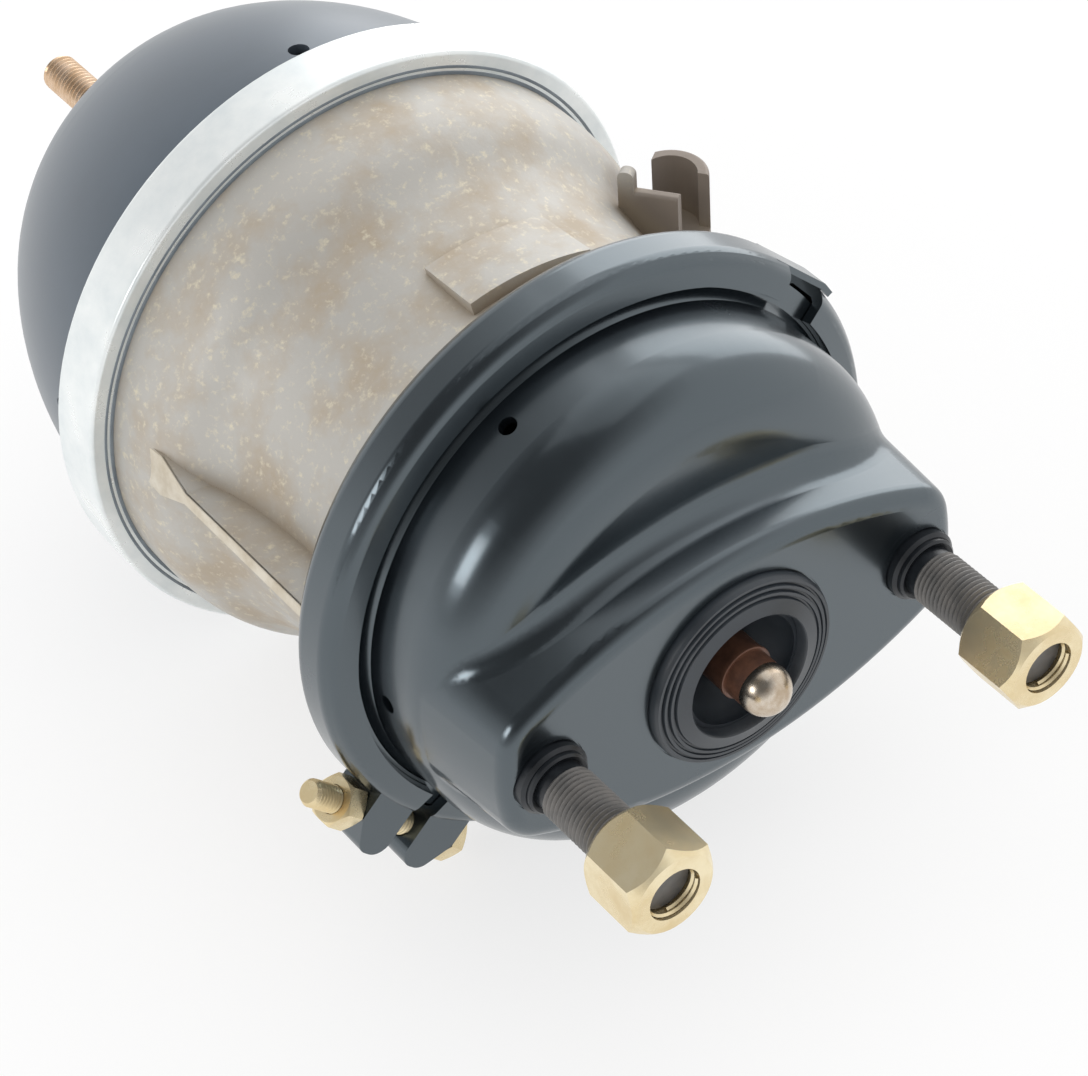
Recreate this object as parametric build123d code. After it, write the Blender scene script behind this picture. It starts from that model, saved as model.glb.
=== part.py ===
"""Spring brake chamber for a disc brake: a service chamber and a parking chamber on one axis.

Frame: the origin is the centre of the mounting face, between the two studs.
+X runs along the line of the studs, +Y along the chamber's axis towards its rear dome, +Z up.
The push rod leaves through the mounting face towards -Y.
The chamber is modelled caged, with its release bolt wound out. Lengths are in millimetres.
"""
from build123d import *
import math
import os

# General fits
running_clearance = 0.05
seat_clearance = 0.3
cut_margin = 1.0

# Service housing, drawn from sheet
sheet = 3.0
cup_radius = 77.0
shoulder_position = 18.0
shoulder_radius = 20.0
face_half_width = 37.0
face_side_radius = 145.0
face_end_radius = 73.5
face_corner_radius = 14.0
face_edge_radius = 5.0
face_taper = 5.0
face_depth = 34.0
face_blend_radius = 8.0
rod_opening_radius = 24.0
vent_radius = 2.6
vent_distance = 7.0
vent_angles = (1.0, 116.0, 181.0, 296.0)

# Clamped joint between the service housing and the flange case
joint_position = 63.5
joint_root_radius = 79.0
joint_rim_radius = 85.2
joint_root_half_width = 6.5
joint_wedge_angle = 12.0
bead_half_width = 2.4
bead_inner_radius = 75.5

# Clamp band: two halves hooked together at a strap and drawn up by one bolt
band_thickness = 3.0
band_lip_radius = 80.4
band_crown_radius = 89.6
band_bend_radius = 2.5
band_shoulder = 1.2
bolt_angle = 222.0
split_gap = 8.0
lug_length = 15.7
lug_flat_length = 9.4
lug_height = 103.5
lug_width = 14.5
lug_corner_radius = 5.0
clamp_bolt_radius = 4.0
clamp_bolt_distance = 94.3
clamp_bolt_protrusion = 10.0
clamp_head_height = 5.3
clamp_nut_height = 6.8
clamp_across_flats = 13.0
strap_start_angle = 46.0
strap_end_angle = 28.5
strap_lip_angle = 43.0
strap_lap_angle = 31.5
strap_thickness = 1.8
strap_width = 9.0
hook_angle = 30.0
hook_length = 2.4
hook_width = 4.0
hook_height = 3.4

# Mounting studs and nuts
stud_spacing = 120.65
stud_radius = 8.0
stud_end = -47.0
stud_head_radius = 9.6
stud_head_height = 5.0
stud_head_relief = 0.5
stud_head_cone = 2.4
stud_collar_radius = 10.5
stud_collar_height = 3.0
stud_neck_radius = 7.4
stud_neck_length = 4.0
stud_chamfer = 1.0
stud_thread_radius = 7.5
stud_seat_depth = 0.6
nut_seat = -30.0
nut_height = 21.0
nut_across_flats = 24.0
nut_cone_height = 3.0
nut_cone_angle = 30.0

# Face seal, dust boot and push rod
seal_outer_radius = 29.0
seal_hole_radius = 18.4
seal_edge_height = 2.7
seal_edge_round = 1.0
seal_seat_depth = 0.6
seal_lip_height = 5.3
seal_back_radius = 26.5
seal_back_height = 2.5
boot_thickness = 1.6
boot_fold = 14.0
boot_lip_height = 4.0
rod_radius = 8.0
rod_tip_radius = 7.3
rod_tip_position = -10.7
rod_neck_position = -3.0
plate_front = 86.5
plate_thickness = 4.0
plate_radius = 45.0
plate_edge_radius = 1.5
rod_socket_radius = 12.0
rod_socket_height = 8.0

# Diaphragms
diaphragm_thickness = 3.0
diaphragm_bend = 10.0
service_floor_radius = 56.0
parking_rim_radius = 76.0
parking_floor_radius = 60.0

# Flange case, cast
case_service_radius = 74.5
case_service_floor = 99.5
case_service_floor_radius = 57.0
case_wall_thickness = 12.5
case_parking_radius = 80.0
case_parking_floor_radius = 52.0
case_front_radius = 75.0
case_waist_radius = 70.0
case_waist_position = 102.0
case_swell_radius = 76.5
case_swell_position = 131.0
case_collar_gap = 0.8
case_collar_position = 157.0
waist_start_slope = (-1.0, 1.3)
bore_boss_radius = 24.0
bore_boss_length = 8.0
pad_angle = 87.0
pad_half_angle = 15.0
pad_front = 88.0
pad_rear = 109.0
pad_front_radius = 74.2
pad_rear_radius = 72.9
rib_angle = 170.3
rib_width = 3.6
rib_front = 73.6
rib_rear = 157.0
rib_height = 84.2
rib_end_width = 13.0
rib_end_length = 26.0
rib_end_shoulder = 14.0
port_angles = (255.0, 285.0)
port_positions = (88.0, 126.0)
port_boss_radius = 14.0
port_boss_height = 88.0
port_thread_radius = 7.25
port_thread_length = 12.0
port_passage_radius = 3.5

# Storage pocket for the release bolt, cast on the flange case; its length lies at pocket_angle
pocket_x = 74.3
pocket_y = 121.3
pocket_angle = -54.0
pocket_bottom = 20.0
pocket_floor = 32.0
pocket_top = 50.5
pocket_bore_radius = 7.8
pocket_wall_thickness = 3.2
pocket_edge_radius = 1.0
slot_front_edge = 1.7
slot_rear_edge = 6.5
pocket_wall_left = 11.6
pocket_wall_right = 5.5
finger_width = 4.6
finger_height = 6.5
finger_round = 2.1

# Crimped joint between the flange case and the spring housing
crimp_front = 166.0
crimp_sheet = 2.0
crimp_lip_width = 6.2
crimp_edge_radius = 1.2
crimp_groove_width = 0.7
crimp_groove_depth = 0.6
crimp_rim_width = 1.1
dome_flange_width = 7.3
flange_thickness = 6.0
parking_bead_thickness = 5.0
parking_bead_inner_radius = 79.0

# Spring housing
dome_radius = 85.0
dome_length = 101.0
dome_side_radius = 122.0
dome_sheet = 3.0
dome_shoulder = 3.0
dome_seat_radius = 17.0
dome_vent_radius = 3.0
dome_vent_distance = 10.0
dome_vent_angles = (87.0, 177.0, 267.0, 357.0)

# Parking rod, piston and springs
park_rod_radius = 13.0
park_rod_bore_radius = 9.5
park_foot_radius = 17.0
park_foot_height = 3.5
park_foot_spigot = 8.0
park_foot_chamfer = 1.0
park_head_radius = 38.0
park_head_height = 3.2
park_head_position = 196.5
bush_wall = 4.0
seal_ring_width = 2.5
seal_ring_height = 2.6
piston_radius = 66.0
piston_thickness = 5.0
piston_rim_height = 9.0
piston_rim_width = 3.5
piston_hub_radius = 17.0
piston_hub_height = 12.0
guide_radius = 27.0
guide_wall = 2.0
guide_height = 34.0
guide_foot_width = 8.0
wire_sides = 8
power_wire_radius = 6.0
power_front_radius = 54.0
power_contact_angle = 61.0
power_turns = 3.0
service_wire_radius = 2.2
service_spring_front_radius = 29.4
service_spring_rear_radius = 40.0
service_spring_turns = 4.0
park_wire_radius = 2.0
park_spring_radius = 20.0
park_spring_turns = 4.5

# Release bolt
release_radius = 6.0
release_tip = 340.0
release_head_radius = 8.5
release_head_height = 6.0
release_head_gap = 1.0
release_hole_clearance = 0.8
release_chamfer = 1.2
release_washer_radius = 15.0
release_washer_thickness = 2.5
release_nut_across_flats = 19.0
release_nut_height = 12.0

# Positions that follow from the sizes above
plate_rear = plate_front + plate_thickness
service_floor = plate_rear + seat_clearance + diaphragm_thickness
park_foot_front = service_floor + seat_clearance
case_parking_floor = case_service_floor + case_wall_thickness
flange_front = crimp_front + crimp_sheet
flange_rear = flange_front + flange_thickness
dome_front = flange_rear + parking_bead_thickness
dome_flange_rear = dome_front + dome_sheet
crimp_rear = dome_flange_rear + crimp_sheet
dome_centre = dome_flange_rear + dome_shoulder
crimp_outer_radius = dome_radius + dome_flange_width
crimp_inner_radius = crimp_outer_radius - crimp_lip_width
case_collar_radius = crimp_inner_radius - case_collar_gap
crimped_flange_radius = crimp_outer_radius - crimp_sheet - seat_clearance
vent_position = joint_position - joint_root_half_width - sheet - vent_distance
dome_vent_position = dome_centre + dome_vent_distance
clamp_seat = split_gap / 2 + lug_length
pocket_radius = pocket_bore_radius + pocket_wall_thickness
park_head_rear = park_head_position + park_head_height
parking_floor = park_head_rear + seat_clearance + diaphragm_thickness
piston_front = parking_floor + seat_clearance
piston_rear = piston_front + piston_thickness
hub_rear = piston_rear + piston_hub_height
dome_crown_radius = ((dome_side_radius ** 2 - (dome_side_radius - dome_radius) ** 2 - dome_length ** 2)
                     / 2 / (dome_side_radius - dome_length))
dome_crown_centre = dome_centre + dome_length - dome_crown_radius
dome_seat = dome_crown_centre + math.sqrt(dome_crown_radius ** 2 - dome_seat_radius ** 2)
bush_radius = park_rod_radius + running_clearance + bush_wall


def joint_half_width(radius):
    """Half the axial width of the wedge joint at a radius."""
    return joint_root_half_width - (radius - joint_root_radius) * math.tan(math.radians(joint_wedge_angle))


def spun(section, arc=360):
    """Solid spun about the chamber's axis from a section in the XY plane, starting at the bottom."""
    return Rot(0, 90, 0) * revolve(section, Axis.Y, revolution_arc=arc)


def turned(points):
    """Solid turned about the chamber's axis from corner points (radius, position)."""
    return spun(make_face(Polyline(*points, close=True)))


def ring(inner, outer, front, rear):
    """Plain ring, or a disc where the inner radius is 0."""
    return turned([(inner, front), (outer, front), (outer, rear), (inner, rear)])


def across(position):
    """Plane square to the chamber's axis at a position, facing the rear."""
    return Plane(origin=(0, position, 0), x_dir=(1, 0, 0), z_dir=(0, 1, 0))


def around(angle):
    """Turn about the chamber's axis that brings +X to the angle, counted from +X towards +Z."""
    return Rot(0, -angle, 0)


def radial_plug(radius, start, end, position, angle):
    """Cylinder that points away from the chamber's axis."""
    plug = Plane(origin=(start, position, 0), z_dir=(1, 0, 0)) * Cylinder(
        radius, end - start, align=(Align.CENTER, Align.CENTER, Align.MIN))
    return around(angle) * plug


def hexagon(across_flats, front, rear):
    """Hexagonal bar along the chamber's axis."""
    outline = RegularPolygon(across_flats / 2, 6, major_radius=False)
    return extrude(across(front) * outline, amount=rear - front)


def cup_solid(rim_radius, rim, floor_radius, floor, bend):
    """Tapered round plug between a rim and a floor, with a rounded edge at the floor."""
    outline = Polyline((0, rim), (rim_radius, rim), (floor_radius, floor), (0, floor), close=True)
    section = make_face(outline)
    corner = section.vertices().sort_by_distance((floor_radius, floor))[0]
    return spun(fillet(corner, bend))


def membrane(rim_radius, rim, floor_radius, floor):
    """Moulded rubber cup of even thickness, given by its outer side."""
    way = math.copysign(1, floor - rim)
    outer = cup_solid(rim_radius, rim, floor_radius, floor, diaphragm_bend)
    hollow = cup_solid(rim_radius - diaphragm_thickness, rim, floor_radius - diaphragm_thickness,
                       floor - way * diaphragm_thickness, diaphragm_bend - diaphragm_thickness)
    return outer - hollow


def coil(wire_radius, start_radius, end_radius, front, rear, turns):
    """Helical spring that fits between two seats, straight or conical."""
    start = front + wire_radius + seat_clearance
    height = rear - front - 2 * (wire_radius + seat_clearance)
    cone = math.degrees(math.atan((end_radius - start_radius) / height))
    path = Helix(height / turns, height, start_radius, center=(0, start, 0), direction=(0, 1, 0),
                 cone_angle=cone)
    section = Plane(origin=path @ 0, z_dir=path % 0) * RegularPolygon(wire_radius, wire_sides)
    return sweep(section, path=path, is_frenet=True)


def face_outline(inset):
    """Oblong of the mounting face: two shallow sides and two ends that follow the cup."""
    side_centre = face_side_radius - face_half_width
    side = face_side_radius - inset
    outline = (Circle(face_end_radius - inset)
               & Pos(0, side_centre) * Circle(side) & Pos(0, -side_centre) * Circle(side))
    return fillet(outline.vertices(), face_corner_radius - inset)


def drawn_form(inset):
    """Outside of the drawn housing, or its inside when inset by the sheet."""
    front = shoulder_position + inset
    radius = cup_radius - inset
    rear = joint_position - bead_half_width
    section = make_face(Polyline((0, front), (radius, front), (radius, rear), (0, rear), close=True))
    shoulder = section.vertices().sort_by_distance((radius, front))[0]
    cup = spun(fillet(shoulder, shoulder_radius - inset))
    face = extrude(across(inset) * face_outline(inset), amount=face_depth - inset, taper=-face_taper)
    front_edges = face.edges().group_by(Axis.Y)[0]
    face = fillet(front_edges, face_edge_radius - inset / 2)
    form = cup + face
    return fillet(new_edges(cup, face, combined=form), face_blend_radius + inset / 2)


def stud_places():
    """Places of the two mounting studs."""
    return [Pos(-stud_spacing / 2, 0, 0), Pos(stud_spacing / 2, 0, 0)]


def service_housing():
    """Drawn cup with an oblong mounting face, seats for the seal and stud collars, and a wedge flange."""
    root = joint_position - joint_half_width(joint_root_radius)
    rim = joint_position - joint_half_width(joint_rim_radius)
    bead = joint_position - bead_half_width
    inside = cup_radius - sheet
    flange = turned([(inside, root - sheet), (cup_radius, root - sheet), (joint_root_radius, root),
                     (joint_rim_radius, rim), (joint_rim_radius, bead), (inside, bead)])
    housing = drawn_form(0) + flange - drawn_form(sheet)
    housing -= ring(0, rod_opening_radius, -cut_margin, sheet + cut_margin)
    housing -= ring(0, seal_outer_radius + seat_clearance, -cut_margin, seal_seat_depth)
    for place in stud_places():
        housing -= place * ring(0, stud_radius + running_clearance, -cut_margin, sheet + cut_margin)
        housing -= place * ring(0, stud_collar_radius + seat_clearance, -cut_margin, stud_seat_depth)
    for angle in vent_angles:
        housing -= radial_plug(vent_radius, inside - cut_margin, cup_radius + sheet, vent_position, angle)
    return housing


def mounting_studs():
    """Studs pressed through the mounting face, each with a head inside and a stepped collar outside."""
    head_rear = sheet + stud_head_height
    cone_front = sheet + stud_head_relief
    neck_front = -stud_collar_height - stud_neck_length
    stud = turned([(0, stud_end), (stud_thread_radius - stud_chamfer, stud_end),
                   (stud_thread_radius, stud_end + stud_chamfer), (stud_thread_radius, nut_seat),
                   (stud_radius, nut_seat), (stud_radius, neck_front),
                   (stud_neck_radius, neck_front + stud_chamfer), (stud_neck_radius, -stud_collar_height),
                   (stud_collar_radius - stud_chamfer, -stud_collar_height),
                   (stud_collar_radius, -stud_collar_height + stud_chamfer),
                   (stud_collar_radius, stud_seat_depth), (stud_radius, stud_seat_depth),
                   (stud_radius, cone_front), (stud_head_radius, cone_front + stud_head_cone),
                   (stud_head_radius, head_rear), (0, head_rear)])
    return Compound([place * stud for place in stud_places()])


def stud_nuts():
    """Long hexagon nuts run onto the ends of the studs."""
    outer_end = nut_seat - nut_height
    corner_radius = nut_across_flats / math.sqrt(3)
    drop = nut_cone_height * math.tan(math.radians(nut_cone_angle))
    envelope = turned([(0, outer_end), (nut_across_flats / 2 - drop / 2, outer_end),
                       (corner_radius, outer_end + nut_cone_height), (corner_radius, nut_seat - drop / 2),
                       (nut_across_flats / 2, nut_seat), (0, nut_seat)])
    bore = ring(0, stud_thread_radius + running_clearance, outer_end - cut_margin, nut_seat + cut_margin)
    nut = (hexagon(nut_across_flats, outer_end, nut_seat) & envelope) - bore
    return Compound([place * nut for place in stud_places()])


def face_seal():
    """Rubber ring gripping the edge of the rod opening, dished towards its hole."""
    grip = rod_opening_radius - running_clearance
    back = sheet + seal_back_height
    return turned([(seal_hole_radius, -seal_lip_height + seal_edge_round),
                   (seal_hole_radius + seal_edge_round, -seal_lip_height),
                   (seal_outer_radius - seal_edge_round, -seal_edge_height),
                   (seal_outer_radius, -seal_edge_height + seal_edge_round),
                   (seal_outer_radius, seal_seat_depth), (grip, seal_seat_depth), (grip, sheet),
                   (seal_back_radius, sheet), (seal_back_radius, back), (seal_hole_radius, back)])


def dust_boot():
    """Thin rubber cup from the hole of the face seal to a lip round the push rod."""
    front = -seal_edge_height / 2
    rear = front + boot_fold
    outer = seal_hole_radius - running_clearance
    inner = outer - boot_thickness
    lip = rod_radius + seat_clearance
    lip_outer = lip + boot_thickness
    lip_front = rear - boot_lip_height
    return turned([(outer, front), (outer, rear), (lip, rear + boot_thickness), (lip, lip_front),
                   (lip_outer, lip_front), (lip_outer, rear - boot_thickness),
                   (inner, rear - 2 * boot_thickness), (inner, front)])


def pushrod():
    """Rod with a ball end that pushes the brake's lever, and a socket on the push plate."""
    neck = rod_tip_position + rod_tip_radius / 2
    socket_front = plate_front - rod_socket_height
    shaft = turned([(0, neck), (rod_tip_radius * math.sqrt(3) / 2, neck), (rod_radius, rod_neck_position),
                    (rod_radius, socket_front), (rod_socket_radius, plate_front), (0, plate_front)])
    return shaft + Pos(0, rod_tip_position, 0) * Sphere(rod_tip_radius)


def push_plate():
    """Pressed disc between the service diaphragm and the push rod."""
    plate = ring(0, plate_radius, plate_front, plate_rear)
    return fillet(plate.edges().filter_by(GeomType.CIRCLE), plate_edge_radius)


def service_return_spring():
    """Conical spring between the housing's front and the push plate."""
    return coil(service_wire_radius, service_spring_front_radius, service_spring_rear_radius,
                sheet, plate_front, service_spring_turns)


def service_diaphragm():
    """Rubber diaphragm whose bead is clamped between the housing and the flange case."""
    front = joint_position - bead_half_width
    rear = joint_position + bead_half_width
    bead = ring(bead_inner_radius - diaphragm_thickness - seat_clearance, joint_rim_radius, front, rear)
    rim_radius = case_service_radius - seat_clearance
    wall = membrane(rim_radius, front, service_floor_radius - seat_clearance, service_floor)
    return bead + wall


def lug_outline():
    """Side view of a clamp lug: (distance from the split's centre, distance from the axis)."""
    start = split_gap / 2
    points = [(start, joint_rim_radius), (start, lug_height), (start + lug_flat_length, lug_height),
              (clamp_seat, clamp_bolt_distance), (clamp_seat, joint_rim_radius)]
    outline = make_face(Polyline(*points, close=True))
    corners = outline.vertices().group_by(Axis.Y)[-1]
    return fillet(corners, lug_corner_radius)


def clamp_lug(side):
    """Lug beside the bolted split; side is 1 towards rising angles and -1 the other way."""
    outline = lug_outline() if side > 0 else mirror(lug_outline(), Plane.YZ)
    middle = Plane(origin=(0, joint_position - lug_width / 2, 0), x_dir=(0, 0, 1), z_dir=(0, 1, 0))
    return around(bolt_angle) * extrude(middle * outline, amount=lug_width)


def half_angle(width, radius):
    """Half of the angle that a width takes up at a radius, in degrees."""
    return math.degrees(math.asin(width / 2 / radius))


def band_sector(first, last):
    """Stretch of the clamp's V-shaped band between two angles."""
    half = band_thickness / 2
    off = (half + seat_clearance) / math.cos(math.radians(joint_wedge_angle))
    bend_radius = joint_rim_radius + band_shoulder
    lip = joint_half_width(band_lip_radius) + off
    shoulder = joint_half_width(bend_radius) + off
    crown_radius = band_crown_radius - half
    crown = shoulder - band_bend_radius
    path = FilletPolyline((band_lip_radius, joint_position - lip), (bend_radius, joint_position - shoulder),
                          (crown_radius, joint_position - crown), (crown_radius, joint_position + crown),
                          (bend_radius, joint_position + shoulder), (band_lip_radius, joint_position + lip),
                          radius=band_bend_radius)
    section = trace(path, band_thickness)
    return around(first) * revolve(section, Axis.Y, revolution_arc=first - last)


def bolted_end(band, side):
    """Band sector with a drilled lug at its end beside the bolted split."""
    band_inside = band_crown_radius - band_thickness
    inside = ring(0, band_inside, joint_position - lug_width, joint_position + lug_width)
    hole = Cylinder(clamp_bolt_radius + seat_clearance, 2 * (clamp_seat + cut_margin))
    return band + (clamp_lug(side) - inside) - bolt_line() * hole


def clamp_strap():
    """Flat strap that runs on from the upper half's crown and laps over the lower half."""
    inner = band_crown_radius + seat_clearance
    outer = inner + strap_thickness
    start = math.radians(strap_start_angle)
    end = math.radians(strap_end_angle)
    lap = math.radians(strap_lap_angle)
    seat = band_crown_radius - strap_thickness
    points = [(seat, start), (band_crown_radius, start), (outer, lap), (outer, end), (inner, end),
              (inner, lap)]
    corners = [(radius * math.cos(angle), radius * math.sin(angle)) for radius, angle in points]
    outline = Plane.XZ.offset(-joint_position - strap_width / 2) * make_face(Polyline(*corners, close=True))
    return extrude(outline, amount=strap_width)


def hook(clearance):
    """Hook on the lower half's crown, or the window for it in the strap when given a clearance."""
    root = band_crown_radius - band_thickness / 2
    width = hook_width + 2 * clearance
    length = hook_length + 2 * clearance
    block = Box(hook_height, width, length, align=(Align.MIN, Align.CENTER, Align.CENTER))
    return around(hook_angle) * Pos(root, joint_position, 0) * block


def clamp_half_upper():
    """Upper half of the clamp band, from its strap to the bolted split."""
    band = band_sector(strap_lip_angle, bolt_angle - half_angle(split_gap, band_crown_radius))
    return bolted_end(band, -1) + clamp_strap() - hook(seat_clearance)


def clamp_half_lower():
    """Lower half of the clamp band, from the bolted split round to its hook."""
    band = band_sector(bolt_angle + half_angle(split_gap, band_crown_radius), 360 + strap_lap_angle)
    return bolted_end(band, 1) + hook(0)


def bolt_line():
    """Place of the clamp bolt: local Z runs along the bolt, towards falling angles."""
    line = Plane(origin=(clamp_bolt_distance, joint_position, 0), x_dir=(0, 1, 0), z_dir=(0, 0, -1))
    return around(bolt_angle) * Location(line)


def clamp_bolts():
    """Bolt that draws the two halves of the clamp together."""
    length = 2 * clamp_seat + clamp_nut_height + clamp_bolt_protrusion
    bolt = Pos(0, 0, -clamp_seat) * Cylinder(clamp_bolt_radius, length,
                                             align=(Align.CENTER, Align.CENTER, Align.MIN))
    outline = RegularPolygon(clamp_across_flats / 2, 6, major_radius=False)
    head = extrude(Plane.XY.offset(-clamp_seat - clamp_head_height) * outline, amount=clamp_head_height)
    return bolt_line() * (bolt + head)


def clamp_nuts():
    """Nut on the clamp bolt."""
    hole = Circle(clamp_bolt_radius + running_clearance)
    outline = RegularPolygon(clamp_across_flats / 2, 6, major_radius=False) - hole
    return bolt_line() * extrude(Plane.XY.offset(clamp_seat) * outline, amount=clamp_nut_height)


def case_body():
    """Cast body before its details: waisted outside, a wall across the middle, a flange at each end."""
    front = joint_position + bead_half_width
    root = joint_position + joint_half_width(joint_root_radius)
    rim = joint_position + joint_half_width(joint_rim_radius)
    waist_front = root + sheet
    waist = Spline((case_front_radius, waist_front), (case_waist_radius, case_waist_position),
                   (case_swell_radius, case_swell_position), (case_collar_radius, case_collar_position),
                   tangents=[waist_start_slope, (0, 1)])
    front_line = Polyline((0, front), (joint_rim_radius, front), (joint_rim_radius, rim),
                          (joint_root_radius, root), (case_front_radius, waist_front))
    rear_line = Polyline((case_collar_radius, case_collar_position), (case_collar_radius, flange_front),
                         (crimped_flange_radius, flange_front), (crimped_flange_radius, flange_rear),
                         (0, flange_rear), (0, front))
    return spun(make_face(front_line.edges() + waist.edges() + rear_line.edges()))


def case_pad():
    """Low curved pad on the waist."""
    root = case_service_floor_radius
    outline = Polyline((root, pad_front), (pad_front_radius, pad_front), (pad_rear_radius, pad_rear),
                       (root, pad_rear), close=True)
    pad = revolve(make_face(outline), Axis.Y, revolution_arc=2 * pad_half_angle)
    return around(pad_angle + pad_half_angle) * pad


def case_rib():
    """Straight rib along the case, with a flat top that spreads out where it meets the collar."""
    half = rib_width / 2
    end_half = rib_end_width / 2
    spread = rib_rear - rib_end_length
    shoulder = rib_rear - rib_end_shoulder
    outline = Polyline((rib_front, -half), (spread, -half), (shoulder, -end_half), (rib_rear, -end_half),
                       (rib_rear, end_half), (shoulder, end_half), (spread, half), (rib_front, half),
                       close=True)
    side = Plane(origin=(0, 0, 0), x_dir=(0, 1, 0), z_dir=(1, 0, 0))
    return around(rib_angle) * extrude(side * make_face(outline), amount=rib_height)


def pocket_sleeve():
    """Floor of the storage pocket and the curved wall behind the stored bolt."""
    upright = (Align.CENTER, Align.CENTER, Align.MIN)
    standing = (Align.MIN, Align.MIN, Align.MIN)
    height = pocket_top - pocket_bottom
    reach = pocket_radius + cut_margin
    sleeve = Cylinder(pocket_radius, height, align=upright)
    sleeve = fillet(sleeve.edges().group_by(Axis.Z)[-1], pocket_edge_radius)
    room = Cylinder(pocket_bore_radius, height, align=upright)
    room += Pos(-reach, -reach, 0) * Box(2 * reach, reach + slot_front_edge, height, align=standing)
    room += Pos(-reach, -reach, 0) * Box(reach - slot_rear_edge, 2 * reach, height, align=standing)
    return sleeve - Pos(0, 0, pocket_floor - pocket_bottom) * room


def storage_pocket():
    """Pocket beside the case, with a flat wall in front that ends in a rounded finger."""
    standing = (Align.MIN, Align.MIN, Align.MIN)
    height = pocket_top - pocket_bottom
    wall = Box(pocket_wall_left + pocket_wall_right, pocket_wall_thickness, height, align=standing)
    wall = fillet(wall.edges().filter_by(Axis.X).group_by(Axis.Z)[-1], pocket_edge_radius)
    finger = Box(finger_width, pocket_wall_thickness, height + finger_height, align=standing)
    finger = fillet(finger.edges().filter_by(Axis.Y).group_by(Axis.Z)[-1], finger_round)
    front = Pos(-pocket_wall_left, -pocket_radius, 0) * (wall + finger)
    place = Pos(pocket_x, pocket_y, pocket_bottom) * Rot(0, 0, pocket_angle)
    return place * (pocket_sleeve() + front)


def flange_case():
    """Casting between the two chambers, with air ports, a bare pad, a rib and the storage pocket."""
    front = joint_position + bead_half_width
    boss_rear = case_parking_floor + bore_boss_length
    service_edge = case_service_floor_radius
    parking_edge = case_parking_floor_radius
    case = case_body() + case_pad() + case_rib() + storage_pocket()
    for angle, position in zip(port_angles, port_positions):
        case += radial_plug(port_boss_radius, service_edge, port_boss_height, position, angle)
    case -= cup_solid(case_service_radius, front, service_edge, case_service_floor, diaphragm_bend)
    case -= cup_solid(case_parking_radius, flange_rear, parking_edge, case_parking_floor, diaphragm_bend)
    case += ring(0, bore_boss_radius, case_service_floor, boss_rear)
    bore_radius = bush_radius + running_clearance
    case -= ring(0, bore_radius, case_service_floor - cut_margin, boss_rear + cut_margin)
    outside = port_boss_height + cut_margin
    thread_floor = port_boss_height - port_thread_length
    passage_start = bore_boss_radius + case_wall_thickness
    for angle, position in zip(port_angles, port_positions):
        case -= radial_plug(port_thread_radius, thread_floor, outside, position, angle)
        case -= radial_plug(port_passage_radius, passage_start, outside, position, angle)
    return case


def rod_bush():
    """Plain bush that guides the parking rod, grooved for a seal ring at each end."""
    front = case_service_floor
    rear = case_parking_floor + bore_boss_length
    bore = park_rod_radius + running_clearance
    bush = ring(bore, bush_radius, front, rear)
    groove_radius = bore + seal_ring_width + running_clearance
    for groove in seal_grooves():
        bush -= ring(bore - cut_margin, groove_radius, groove, groove + seal_ring_height)
    return bush


def seal_grooves():
    """Front edges of the two seal grooves in the rod bush."""
    length = case_wall_thickness + bore_boss_length
    return [case_service_floor + seal_ring_height, case_service_floor + length - 2 * seal_ring_height]


def rod_seals():
    """Seal rings in the rod bush."""
    inner = park_rod_radius + running_clearance
    rings = [ring(inner, inner + seal_ring_width, groove + running_clearance,
                  groove + seal_ring_height - running_clearance) for groove in seal_grooves()]
    return Compound(rings)


def parking_rod():
    """Hollow rod that carries the parking force through the wall, with a head at its rear end."""
    front = park_foot_front + park_foot_height
    return turned([(park_rod_bore_radius, front), (park_rod_radius, front),
                   (park_rod_radius, park_head_position), (park_head_radius, park_head_position),
                   (park_head_radius, park_head_rear), (0, park_head_rear), (0, park_head_position),
                   (park_rod_bore_radius, park_head_position)])


def rod_foot():
    """Foot on the front of the parking rod that meets the service diaphragm."""
    rear = park_foot_front + park_foot_height
    spigot = park_rod_bore_radius - running_clearance
    return turned([(0, park_foot_front), (park_foot_radius - park_foot_chamfer, park_foot_front),
                   (park_foot_radius, park_foot_front + park_foot_chamfer), (park_foot_radius, rear),
                   (spigot, rear), (spigot, rear + park_foot_spigot), (0, rear + park_foot_spigot)])


def parking_return_spring():
    """Light spring that brings the parking rod back."""
    return coil(park_wire_radius, park_spring_radius, park_spring_radius,
                case_parking_floor + bore_boss_length, park_head_position, park_spring_turns)


def parking_diaphragm():
    """Rubber diaphragm whose bead is held by the crimped joint."""
    inner = parking_bead_inner_radius - diaphragm_thickness
    bead = ring(inner, crimped_flange_radius, flange_rear, dome_front)
    rim_radius = parking_rim_radius + diaphragm_thickness
    wall = membrane(rim_radius, flange_rear, parking_floor_radius, parking_floor)
    return bead + wall


def parking_piston():
    """Piston that the power spring pushes, with a hub that holds the release bolt's head."""
    bore = release_radius + release_hole_clearance
    pocket = release_head_radius + release_hole_clearance
    pocket_rear = piston_front + release_head_gap + release_head_height
    rim_inner = piston_radius - piston_rim_width
    rim_rear = piston_front + piston_rim_height
    return turned([(pocket, piston_front), (piston_radius, piston_front), (piston_radius, rim_rear),
                   (rim_inner, rim_rear), (rim_inner, piston_rear), (piston_hub_radius, piston_rear),
                   (piston_hub_radius, hub_rear), (bore, hub_rear), (bore, pocket_rear),
                   (pocket, pocket_rear)])


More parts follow.
